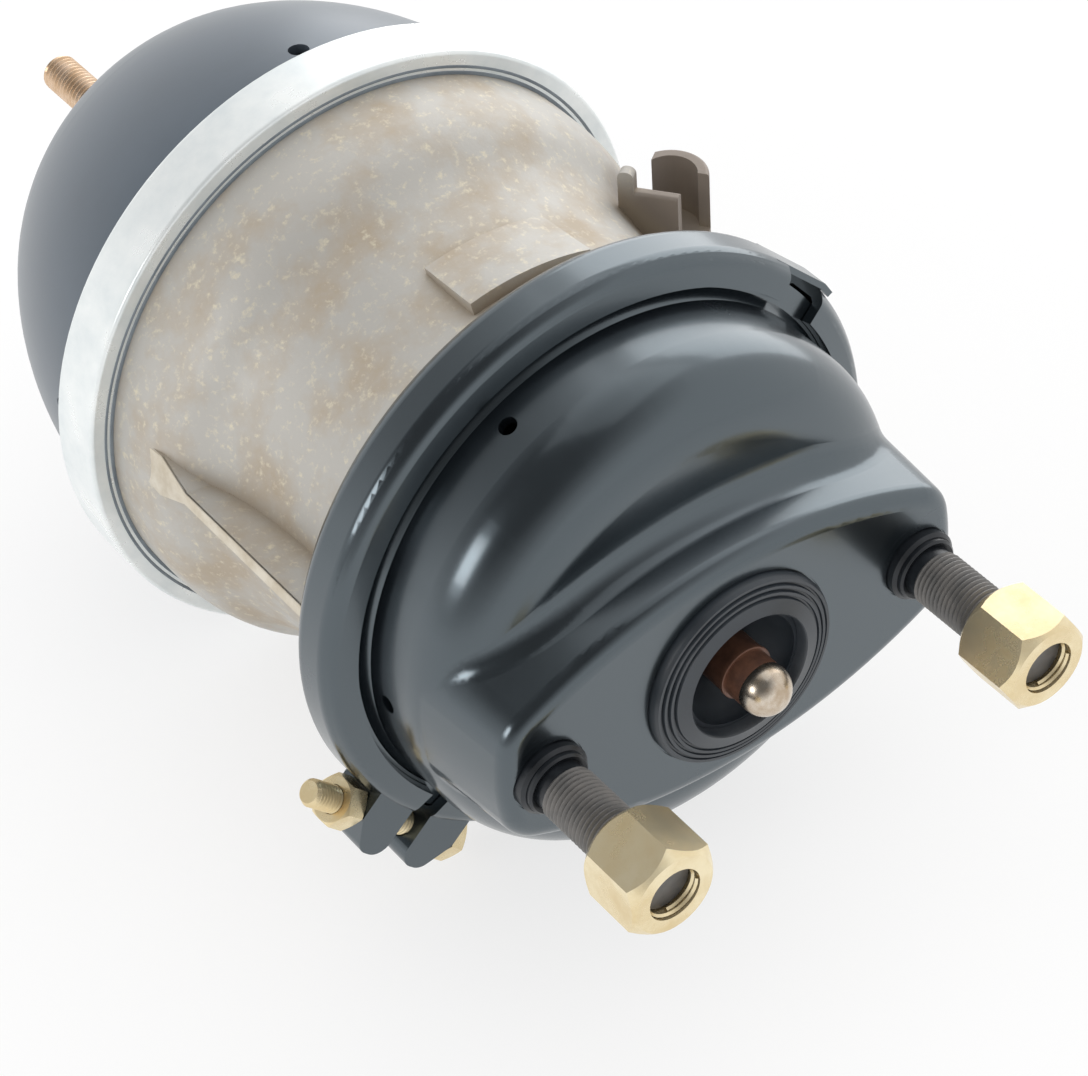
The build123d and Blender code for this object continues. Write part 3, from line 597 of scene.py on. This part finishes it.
@dataclass(frozen=True)
class HexBlank:
    """A hexagon nut or bolt head with rounded-off corners, in millimetres."""

    across_flats: float
    height: float
    hole: float = 0.0
    chamfer_degrees: float = 30.0
    chamfer_share: float = 0.97
    chamfer_cuts: int = 36
    chamfer_ends: tuple[float, ...] = (-1.0, 1.0)

    def build(self) -> bmesh.types.BMesh:
        """Prism on the Z axis from 0 to its height, its corners cut by a cone at each end.

        Returns:
            The blank's mesh.
        """
        mesh = bmesh.new()
        corner = self.across_flats / math.sqrt(3.0) * MM
        depth = self.height * MM
        bmesh.ops.create_cone(mesh, cap_ends=True, segments=HEX_SIDES, radius1=corner, radius2=corner,
                              depth=depth)
        bmesh.ops.translate(mesh, verts=mesh.verts, vec=(0, 0, depth / 2))
        tilt = math.radians(self.chamfer_degrees)
        reach = self.across_flats / 2 * MM * self.chamfer_share
        for end in self.chamfer_ends:
            level = depth if end > 0 else 0.0
            for number in range(self.chamfer_cuts):
                turn = FULL_TURN * (number + 0.5) / self.chamfer_cuts
                out = Vector((math.cos(turn), math.sin(turn), 0.0))
                normal = out * math.sin(tilt) + Vector((0, 0, end)) * math.cos(tilt)
                rim = trim(mesh, out * reach + Vector((0, 0, level)), normal)
                if rim:
                    bmesh.ops.contextual_create(mesh, geom=rim)
        if self.hole:
            self.drill(mesh)
        return mesh

    def drill(self, mesh: bmesh.types.BMesh) -> None:
        """Opens the blank's hole from its top to its foot, both of which are chamfered.

        Args:
            mesh: The blank's mesh.
        """
        depth = self.height * MM
        foot, top = (self.flat_end(mesh, level) for level in (0.0, depth))
        rim = list(top.edges)
        bmesh.ops.delete(mesh, geom=[foot, top], context="FACES_ONLY")
        wall = bmesh.ops.extrude_edge_only(mesh, edges=rim)["geom"]
        lower = [part for part in wall if isinstance(part, bmesh.types.BMVert)]
        bmesh.ops.translate(mesh, verts=lower, vec=(0, 0, -depth))
        bmesh.ops.remove_doubles(mesh, verts=mesh.verts, dist=WELD)

    def flat_end(self, mesh: bmesh.types.BMesh, level: float) -> bmesh.types.BMFace:
        """Insets the flat face at one end to the size of the hole.

        Args:
            mesh: The blank's mesh.
            level: Height of the face, in metres.

        Returns:
            The inner face.
        """
        flat = [face for face in mesh.faces
                if abs(face.calc_center_median().z - level) < LEVEL_TOLERANCE
                and abs(face.normal.z) > FACING_SHARE]
        width = self.across_flats / 2 * MM * self.chamfer_share - self.hole * MM
        bmesh.ops.inset_region(mesh, faces=flat, thickness=width, use_even_offset=True)
        return flat[0]


def place(mesh: bmesh.types.BMesh, matrix: Matrix) -> bmesh.types.BMesh:
    """Moves a whole mesh.

    Args:
        mesh: The shape.
        matrix: Where it goes.

    Returns:
        The same mesh.
    """
    bmesh.ops.transform(mesh, matrix=matrix, verts=mesh.verts)
    return mesh


def join(target: bmesh.types.BMesh, *others: bmesh.types.BMesh) -> bmesh.types.BMesh:
    """Adds shapes to a mesh and frees them.

    Args:
        target: Mesh that gets the shapes.
        *others: The shapes.

    Returns:
        The target mesh.
    """
    for other in others:
        data = bpy.data.meshes.new("joined")
        other.to_mesh(data)
        other.free()
        target.from_mesh(data)
        bpy.data.meshes.remove(data)
    return target


# Turns a shape built on the Z axis so that it lies along the chamber's axis, its top to the rear.
LAY_ALONG_AXIS = Matrix.Rotation(math.radians(-90.0), 4, "X")
# Turns a shape built along the chamber's axis so that it lies along X.
LAY_ALONG_X = Matrix.Rotation(math.radians(-90.0), 4, "Z")
# Turns a hexagon from corners along its Y to corners along its X.
CORNERS_ALONG_X = Matrix.Rotation(math.radians(30.0), 4, "Z")


@dataclass
class MountingStuds:
    """The two studs with their stepped collars, and a long nut with a threaded mouth on each."""

    spacing: float = 120.65
    thread: Thread = Thread(crest=7.95, root=7.25, pitch=1.5)
    nut_thread: Thread = Thread(crest=7.5, root=6.95, pitch=1.5)
    end: float = -47.0
    nut_seat: float = -30.0
    nut_end: float = -51.0
    nut_flats: float = 24.8
    nut_hole: float = 7.65
    nut_chamfer_degrees: float = 45.0
    nut_chamfer_share: float = 0.93
    mouth: float = 0.5
    ridge_gap: float = 0.1
    seat_gap: float = 0.05
    neck_front: float = -7.0
    inside_nut: float = 7.48
    neck: float = 7.3
    collar: float = 10.4
    collar_front: float = -3.0
    step: float = 9.2
    step_front: float = -4.6
    step_break: float = 0.6
    collar_break: float = 0.9
    collar_rear: float = 0.6
    head: float = 9.6
    head_front: float = 5.4
    head_rear: float = 8.0
    shank: float = 7.9
    shank_rear: float = 3.5

    def build(self, shop: Workshop) -> None:
        """Makes the threaded rods, collars, nuts and nut threads.

        Args:
            shop: Workshop that makes the pieces.
        """
        rods = bmesh.new()
        collars = bmesh.new()
        nuts = bmesh.new()
        ridges = bmesh.new()
        blank = HexBlank(self.nut_flats, self.nut_seat - self.nut_end, self.nut_hole,
                         self.nut_chamfer_degrees, self.nut_chamfer_share)
        for side, spin in ((-0.5, Matrix()), (0.5, CORNERS_ALONG_X)):
            move = Matrix.Translation((side * self.spacing * MM, 0, 0))
            join(rods, place(self.rod(), move))
            join(collars, place(self.collar_ring(), move))
            seat = Matrix.Translation(AXIS * self.nut_end * MM)
            join(nuts, place(blank.build(), move @ seat @ LAY_ALONG_AXIS @ spin))
            ridge = self.nut_thread.inner(self.nut_end + self.mouth, self.end - self.ridge_gap)
            join(ridges, place(ridge, move))
        shop.piece("threaded_studs", rods, "phosphate", Body.ROOT, ("mounting_studs",))
        shop.piece("stud_collars", collars, "collar", Body.ROOT)
        shop.piece("long_hex_nuts", nuts, "yellow_zinc", Body.ROOT, ("stud_nuts",),
                   SHARP_HEX)
        shop.piece("nut_threads", ridges, "yellow_zinc", Body.ROOT)

    def rod(self) -> bmesh.types.BMesh:
        """Threaded rod of one stud, slimmer where the nut holds it.

        Returns:
            The rod's mesh.
        """
        mesh = self.thread.outer(self.end, self.neck_front)
        for vert in mesh.verts:
            if vert.co.y < (self.nut_seat + self.seat_gap) * MM:
                self.thread.hold_within(vert, self.inside_nut * MM)
        return mesh

    def collar_ring(self) -> bmesh.types.BMesh:
        """Stepped collar outside the housing, with the shank and head behind it.

        Returns:
            The collar's mesh.
        """
        mesh = bmesh.new()
        lathe(mesh, [(0, self.neck_front - OVERLAP), (self.neck, self.neck_front - OVERLAP),
                     (self.neck, self.step_front + self.step_break),
                     (self.step - self.step_break, self.step_front),
                     (self.step, self.step_front + self.step_break), (self.step, self.collar_front),
                     (self.collar - self.collar_break, self.collar_front),
                     (self.collar, self.collar_front + self.collar_break), (self.collar, self.collar_rear),
                     (self.shank, self.collar_rear), (self.shank, self.shank_rear),
                     (self.head, self.head_front), (self.head, self.head_rear), (0, self.head_rear)])
        return mesh


@dataclass
class FaceSeal:
    """Rubber seal with raised rings, and the pleated boot inside its hole."""

    outer: float = 28.8
    rim_depth: float = 1.0
    rim_break: float = 0.3
    hole: float = 18.5
    edge: float = -2.6
    lip: float = -5.2
    lip_flat: float = 1.4
    lip_round: float = 0.5
    seat: float = 0.6
    ridges: tuple[float, ...] = (27.6, 25.9, 24.2)
    groove: float = 0.55
    # Corners of a ridge and the groove inside it: distance from the ridge, and share of the groove's depth.
    ridge_section: tuple[tuple[float, float], ...] = ((0.45, 0.0), (-0.35, 0.0), (-0.55, 1.0), (-1.05, 1.0))
    ridge_run_out: float = 1.3
    grip: float = 23.9
    back: float = 26.4
    back_rear: float = 5.4
    sheet: float = 3.0
    boot_gap: float = 0.1
    boot_inset: float = 1.2
    boot_rear: float = 13.2
    boot_wall: float = 1.4
    boot_lean: float = 0.4
    boot_curve: float = 1.5
    rod: float = 8.4
    pleats: int = 3
    pleat_height: float = 0.9

    def build(self, shop: Workshop) -> None:
        """Makes the seal and the boot.

        Args:
            shop: Workshop that makes the pieces.
        """
        shop.piece("grooved_seal", self.seal(), "rubber", Body.ROOT, ("face_seal",),
                   SHARP_RUBBER)
        shop.piece("pleated_boot", self.boot(), "rubber", Body.ROOT, ("dust_boot",),
                   SHARP_RUBBER)

    def height(self, radius: float) -> float:
        """Position of the seal's face, which rises towards its hole.

        Args:
            radius: Distance from the chamber's axis.

        Returns:
            The face's position along the axis.
        """
        share = (self.outer - radius) / (self.outer - self.hole)
        return self.edge + (self.lip - self.edge) * share

    def seal(self) -> bmesh.types.BMesh:
        """Seal with a ridge between each pair of grooves.

        Returns:
            The seal's mesh.
        """
        mesh = bmesh.new()
        face = [(self.outer, self.edge + self.rim_depth),
                (self.outer - self.rim_break, self.edge + self.rim_break)]
        for radius in self.ridges:
            top = self.height(radius)
            face += [(radius + offset, top + self.groove * depth) for offset, depth in self.ridge_section]
        for radius in (self.ridges[-1] - self.ridge_run_out, self.hole + self.lip_flat):
            face.append((radius, self.height(radius)))
        face += [(self.hole + self.lip_round, self.lip), (self.hole, self.lip + self.lip_round)]
        back = [(self.hole, self.back_rear), (self.back, self.back_rear), (self.back, self.sheet),
                (self.grip, self.sheet), (self.grip, self.seat), (self.outer, self.seat)]
        lathe(mesh, face + back, closed=True)
        return mesh

    def boot(self) -> bmesh.types.BMesh:
        """Boot that steps inwards to the rod in soft pleats.

        Returns:
            The boot's mesh.
        """
        mesh = bmesh.new()
        start = self.hole - self.boot_gap
        depth = self.boot_rear - self.edge
        outside = []
        for number in range(2 * self.pleats + 1):
            share = number / (2 * self.pleats)
            lift = self.pleat_height if number % 2 else 0.0
            outside.append((start + (self.rod - start) * share ** self.boot_curve + lift,
                            self.edge + self.boot_inset + depth * share))
        inside = [(max(radius - self.boot_wall, self.rod), position - self.boot_wall * self.boot_lean)
                  for radius, position in reversed(outside)]
        lathe(mesh, outside + [(self.rod, outside[-1][1])] + inside[1:], closed=True)
        return mesh


@dataclass
class Pushrod:
    """Push rod with a ball end, a shoulder ring and a socket on its plate."""

    ball: float = 7.25
    ball_place: float = -10.7
    neck_start: float = 102.0
    arc_steps: int = 20
    shoulder_front: float = -3.6
    shoulder: float = 7.95
    shoulder_break: float = 0.2
    ring_rear: float = 1.3
    shank_front: float = 2.0
    shank_step: float = 0.3
    socket: float = 11.9
    socket_front: float = 78.6
    plate_front: float = 86.4

    def build(self, shop: Workshop) -> None:
        """Makes the ball end and the rod.

        Args:
            shop: Workshop that makes the pieces.
        """
        last = math.radians(self.neck_start)
        arc = [(self.ball * math.sin(last * step / self.arc_steps),
                self.ball_place - self.ball * math.cos(last * step / self.arc_steps))
               for step in range(self.arc_steps + 1)]
        neck, neck_front = arc[-1]
        shank = self.shoulder - self.shank_step
        ball, rod = bmesh.new(), bmesh.new()
        lathe(ball, arc + [(0, neck_front)])
        lathe(rod, [(0, neck_front), (neck, neck_front), (neck, self.shoulder_front),
                    (self.shoulder - self.shoulder_break, self.shoulder_front),
                    (self.shoulder, self.shoulder_front + self.shoulder_break),
                    (self.shoulder, self.shoulder_front + self.ring_rear),
                    (shank, self.shoulder_front + self.shank_front), (shank, self.socket_front),
                    (self.socket, self.plate_front), (0, self.plate_front)])
        shop.piece("ball_end", ball, "steel", Body.PUSHROD)
        shop.piece("push_rod", rod, "rod_steel", Body.PUSHROD, ("pushrod",))


@dataclass
class ReleaseGear:
    """Release bolt with its long thread, and the chamfered nut on it."""

    thread: Thread = Thread(crest=5.97, root=5.1, pitch=1.75, chamfer=1.6)
    tip: float = 339.9
    thread_end: float = 232.0
    shank: float = 5.2
    shank_steps: int = 48
    head: float = 8.4
    head_break: float = 0.8
    head_front: float = 204.4
    head_rear: float = 210.2
    nut_hole: float = 6.1

    def build(self, shop: Workshop) -> None:
        """Makes the bolt and the nut.

        Args:
            shop: Workshop that makes the pieces.
        """
        bolt = self.thread.outer(self.thread_end, self.tip)
        shank = bmesh.new()
        shank_rear = self.thread_end + OVERLAP
        lathe(shank, [(0, self.head_front), (self.head - self.head_break, self.head_front),
                      (self.head, self.head_front + self.head_break), (self.head, self.head_rear),
                      (self.shank, self.head_rear), (self.shank, shank_rear), (0, shank_rear)],
              steps=self.shank_steps)
        join(bolt, shank)
        shop.piece("release_screw", bolt, "copper_zinc", Body.PISTON, ("release_bolt",))
        low, high = (Vector(corner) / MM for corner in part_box("release_nut"))
        blank = HexBlank(across_flats=high.z - low.z, height=high.y - low.y, hole=self.nut_hole)
        turned = LAY_ALONG_AXIS @ CORNERS_ALONG_X
        nut = place(blank.build(), Matrix.Translation((0, low.y * MM, 0)) @ turned)
        shop.piece("release_hex_nut", nut, "yellow_zinc", Body.NUT, ("release_nut",),
                   SHARP_HEX)


@dataclass
class ClampScrew:
    """Bolt and nut that draw the clamp's two ends together."""

    angle: float = 222.0
    distance: float = 94.3
    position: float = 63.5
    seat: float = 19.7
    bolt_end: float = 36.5
    thread: Thread = Thread(crest=3.97, root=3.4, pitch=1.25, chamfer=0.9, steps=24)
    across_flats: float = 13.0
    head_height: float = 5.3
    nut_height: float = 6.8
    nut_hole: float = 4.1
    end_gap: float = 0.1

    def build(self, shop: Workshop) -> None:
        """Makes the bolt and the nut.

        Args:
            shop: Workshop that makes the pieces.
        """
        line = self.line()
        bolt = place(self.thread.outer(-self.seat, self.bolt_end - self.end_gap), LAY_ALONG_AXIS.inverted())
        head = HexBlank(self.across_flats, self.head_height, chamfer_ends=(-1.0,)).build()
        under_head = Matrix.Translation((0, 0, -(self.seat + self.head_height) * MM))
        join(bolt, place(head, under_head @ CORNERS_ALONG_X))
        shop.piece("clamp_screw", place(bolt, line), "yellow_zinc", Body.ROOT,
                   ("clamp_bolts",), SHARP_SCREW)
        nut = HexBlank(self.across_flats, self.nut_height, hole=self.nut_hole).build()
        place(nut, Matrix.Translation((0, 0, self.seat * MM)) @ CORNERS_ALONG_X)
        shop.piece("clamp_hex_nut", place(nut, line), "yellow_zinc", Body.ROOT,
                   ("clamp_nuts",), SHARP_HEX)

    def line(self) -> Matrix:
        """Finds the bolt's place: its Z axis runs along the bolt, towards falling angles.

        Returns:
            The turn and place of a shape built on the Z axis.
        """
        spin = math.radians(self.angle)
        out = Vector((math.cos(spin), 0, math.sin(spin)))
        along = Vector((math.sin(spin), 0, -math.cos(spin)))
        turn = Matrix((AXIS, out, along)).transposed().to_4x4()
        return Matrix.Translation(out * self.distance * MM + AXIS * self.position * MM) @ turn


@dataclass
class CaseTrim:
    """Paler top of the case's rib, partly worn and partly a painted highlight, and two grey lines along the
    rolled ring.
    """

    angle: float = 170.3
    base: float = 83.6
    top: float = 84.5
    bevel: float = 0.35
    front: float = 75.0
    spread: float = 131.0
    shoulder: float = 143.0
    rear: float = 156.5
    half_width: float = 1.8
    half_end: float = 6.5
    rear_taper: float = 0.8
    bevel_cuts: int = 2
    line_break: float = 0.15
    line_steps: int = 160
    # Inner and outer radius, front and rear of each line.
    line_rings: tuple[tuple[float, float, float, float], ...] = (
        (87.15, 88.0, 165.8, 166.5), (85.2, 86.3, 165.7, 166.6))

    def build(self, shop: Workshop) -> None:
        """Makes the rib's top and the lines.

        Args:
            shop: Workshop that makes the pieces.
        """
        # The rib's paler top: partly wear, partly a painted highlight.
        shop.piece("rib_top", self.rib_top(), "crest_wear_and_highlight", Body.ROOT)
        lines = bmesh.new()
        for low, high, front, rear in self.line_rings:
            lathe(lines, [(low, front + self.line_break), (low + self.line_break, front),
                          (high - self.line_break, front), (high, front + self.line_break),
                          (high, rear), (low, rear)], closed=True, steps=self.line_steps)
        shop.piece("ring_grey_lines", lines, "grey_line", Body.ROOT)

    def rib_top(self) -> bmesh.types.BMesh:
        """Thin bevelled plate along the rib, spread out at its rear end.

        Returns:
            The plate's mesh.
        """
        mesh = bmesh.new()
        half, end, rear_end = self.half_width, self.half_end, self.half_end * self.rear_taper
        outline = [(self.front, -half), (self.spread, -half), (self.shoulder, -end), (self.rear, -rear_end),
                   (self.rear, rear_end), (self.shoulder, end), (self.spread, half), (self.front, half)]
        face = mesh.faces.new([mesh.verts.new((self.base * MM, along * MM, across * MM))
                               for along, across in outline])
        rise = bmesh.ops.extrude_face_region(mesh, geom=[face])["geom"]
        risen = [part for part in rise if isinstance(part, bmesh.types.BMVert)]
        bmesh.ops.translate(mesh, verts=risen, vec=((self.top - self.base) * MM, 0, 0))
        upper = [edge for edge in mesh.edges if all(vert in risen for vert in edge.verts)]
        bmesh.ops.bevel(mesh, geom=upper, offset=self.bevel * MM, offset_type="OFFSET", affect="EDGES",
                        segments=self.bevel_cuts, profile=0.5, material=-1)
        return place(mesh, Matrix.Rotation(math.radians(-self.angle), 4, "Y"))


@dataclass
class AirPorts:
    """Threads inside the two air ports of the flange case."""

    angles: tuple[float, ...] = (255.0, 285.0)
    positions: tuple[float, ...] = (88.0, 126.0)
    mouth: float = 88.0
    depth: float = 11.0
    lead_in: float = 0.8
    thread: Thread = Thread(crest=7.2, root=6.5, pitch=1.5)

    def build(self, shop: Workshop) -> None:
        """Makes the thread ridges.

        Args:
            shop: Workshop that makes the pieces.
        """
        mesh = bmesh.new()
        for angle, position in zip(self.angles, self.positions):
            ridge = self.thread.inner(self.mouth - self.depth, self.mouth - self.lead_in)
            spin = Matrix.Rotation(math.radians(-angle), 4, "Y") @ LAY_ALONG_X
            join(mesh, place(ridge, Matrix.Translation(AXIS * position * MM) @ spin))
        shop.piece("port_threads", mesh, "casting", Body.ROOT)


@dataclass(frozen=True)
class Lamp:
    """A square area lamp that faces the chamber: place and size in metres, power in watts."""

    name: str
    place_at: tuple[float, float, float]
    size: float
    power: float


@dataclass
class Studio:
    """Pale floor, soft lamps and the camera.

    The dark side is the direction whose mirror image is a dark ceiling, and the dark edge is the span of
    the cosine to it over which the image darkens to the dark level.
    """

    floor_size: float = 6.0
    floor_colour: str = "#fafafa"
    floor_glow: float = 0.7
    white: str = "#ffffff"
    surround: float = 0.84
    dark_side: tuple[float, float, float] = (-0.5, -0.15, 0.85)
    dark_edge: tuple[float, float] = (0.35, 0.85)
    dark_level: float = 0.14
    camera_place: tuple[float, float, float] = (-0.40239, -0.5177, 0.66244)
    camera_turn: tuple[float, float, float] = (2.21184, -0.75813, 0.25894)
    focal_px: float = 3629.08
    frame_px: int = 1088
    sensor_mm: float = 36.0
    target: tuple[float, float, float] = (0.0, 0.12, 0.0)
    lamps: tuple[Lamp, ...] = (
        Lamp("key", (2.0, 1.4, 0.75), size=2.4, power=30.0),
        Lamp("top", (0.4, 0.4, 2.0), size=1.8, power=5.0),
        Lamp("fill", (-1.3, 0.1, 0.6), size=0.45, power=3.5))

    def build(self) -> None:
        """Makes the floor, world, lamps and camera."""
        self.floor()
        self.world()
        self.light()
        self.camera()

    def floor(self) -> None:
        """Makes a wide white floor, under the lowest point, that keeps the object's shadow."""
        mesh = bmesh.new()
        bmesh.ops.create_grid(mesh, x_segments=1, y_segments=1, size=self.floor_size)
        bmesh.ops.translate(mesh, verts=mesh.verts, vec=(0, 0, CAD_BOX[0][2]))
        data = bpy.data.meshes.new("floor")
        mesh.to_mesh(data)
        mesh.free()
        floor = add_object("floor", data)
        # Matt white paper that glows where it is looked at, so that it runs into the white surround.
        material = bpy.data.materials.new("white paper floor")
        material.use_nodes = True
        tree = material.node_tree
        tree.nodes.clear()
        paper = add_node(tree, "ShaderNodeBsdfDiffuse", {"Color": linear(self.floor_colour)})
        glow = add_node(tree, "ShaderNodeEmission", {"Color": linear(self.white), "Strength": 1.0})
        share = add_node(tree, "ShaderNodeMath", {0: self.seen(tree), 1: self.floor_glow},
                         operation="MULTIPLY")
        mix = add_node(tree, "ShaderNodeMixShader", {
            0: share.outputs["Value"], 1: paper.outputs["BSDF"], 2: glow.outputs["Emission"]})
        add_node(tree, "ShaderNodeOutputMaterial", {"Surface": mix.outputs["Shader"]})
        data.materials.append(material)

    @staticmethod
    def seen(tree: bpy.types.NodeTree) -> bpy.types.NodeSocket:
        """Is 1 where the camera, a reflection or glass looks, and 0 where light is gathered.

        Args:
            tree: Node tree of the floor.

        Returns:
            The output socket.
        """
        path = add_node(tree, "ShaderNodeLightPath").outputs
        total = add_node(tree, "ShaderNodeMath", {0: path["Is Camera Ray"], 1: path["Is Glossy Ray"]},
                         operation="MAXIMUM").outputs["Value"]
        return add_node(tree, "ShaderNodeMath", {0: total, 1: path["Is Transmission Ray"]},
                        operation="MAXIMUM").outputs["Value"]

    def world(self) -> None:
        """Makes a white surround, whose mirror image has a dark ceiling on the side that no lamp is on."""
        world = bpy.data.worlds.new("white surround")
        bpy.context.scene.world = world
        world.use_nodes = True
        tree = world.node_tree
        tree.nodes.clear()
        path = add_node(tree, "ShaderNodeLightPath").outputs
        direction = add_node(tree, "ShaderNodeTexCoord").outputs["Generated"]
        towards = add_node(tree, "ShaderNodeVectorMath", {
            0: direction, 1: Vector(self.dark_side).normalized()}, operation="DOT_PRODUCT").outputs["Value"]
        image = add_range(tree, towards, self.dark_edge, (1.0, self.dark_level))
        unseen = add_range(tree, path["Is Glossy Ray"], (0.0, 1.0), (self.surround, image))
        strength = add_range(tree, path["Is Camera Ray"], (0.0, 1.0), (unseen, 1.0))
        background = add_node(tree, "ShaderNodeBackground", {
            "Color": linear(self.white), "Strength": strength})
        add_node(tree, "ShaderNodeOutputWorld", {"Surface": background.outputs["Background"]})

    def light(self) -> None:
        """Makes the lamps and faces them to the chamber."""
        for lamp in self.lamps:
            data = bpy.data.lights.new(lamp.name, "AREA")
            data.size = lamp.size
            data.energy = lamp.power
            thing = add_object(lamp.name, data)
            thing.location = lamp.place_at
            away = Vector(self.target) - Vector(lamp.place_at)
            thing.rotation_euler = away.to_track_quat("-Z", "Y").to_euler()

    def camera(self) -> None:
        """Makes the camera, turned by a rotation vector that takes the object's frame to the lens's."""
        camera = bpy.data.cameras.new("camera")
        camera.sensor_width = self.sensor_mm
        camera.lens = self.focal_px / self.frame_px * self.sensor_mm
        thing = add_object("camera", camera)
        spin = Vector(self.camera_turn)
        to_lens = Matrix.Rotation(spin.length, 3, spin.normalized())
        flip = Matrix(((1, 0, 0), (0, -1, 0), (0, 0, -1)))
        turn = (flip @ to_lens).transposed().to_4x4()
        thing.matrix_world = Matrix.Translation(self.camera_place) @ turn
        bpy.context.scene.camera = thing


# Finish of each CAD node whose own shape is shown.
NODE_FINISHES = {
    "service_housing": "enamel", "clamp_half_upper": "enamel", "clamp_half_lower": "enamel",
    "flange_case": "casting", "crimp_ring": "white_zinc", "spring_housing": "satin",
    "release_washer": "white_zinc", "push_plate": "steel",
    "service_return_spring": "phosphate", "service_diaphragm": "rubber", "rod_bush": "copper_zinc",
    "rod_seals": "rubber", "parking_rod": "steel", "rod_foot": "steel",
    "parking_return_spring": "phosphate", "parking_diaphragm": "rubber", "parking_piston": "casting",
    "spring_guide": "steel", "power_spring": "phosphate"}


def main() -> None:
    """Builds the chamber's pieces in order, then the studio."""
    logging.basicConfig(level=logging.INFO, format="%(name)s: %(message)s")
    bpy.context.scene.view_settings.view_transform = "Standard"
    shop = Workshop(Palette())
    for node, finish in NODE_FINISHES.items():
        shop.dress_node(node, finish)
    assemblies = (MountingStuds(), FaceSeal(), Pushrod(), ReleaseGear(), ClampScrew(), CaseTrim(),
                  AirPorts())
    for assembly in assemblies:
        assembly.build(shop)
    Studio().build()


if __name__ == "__main__":
    main()
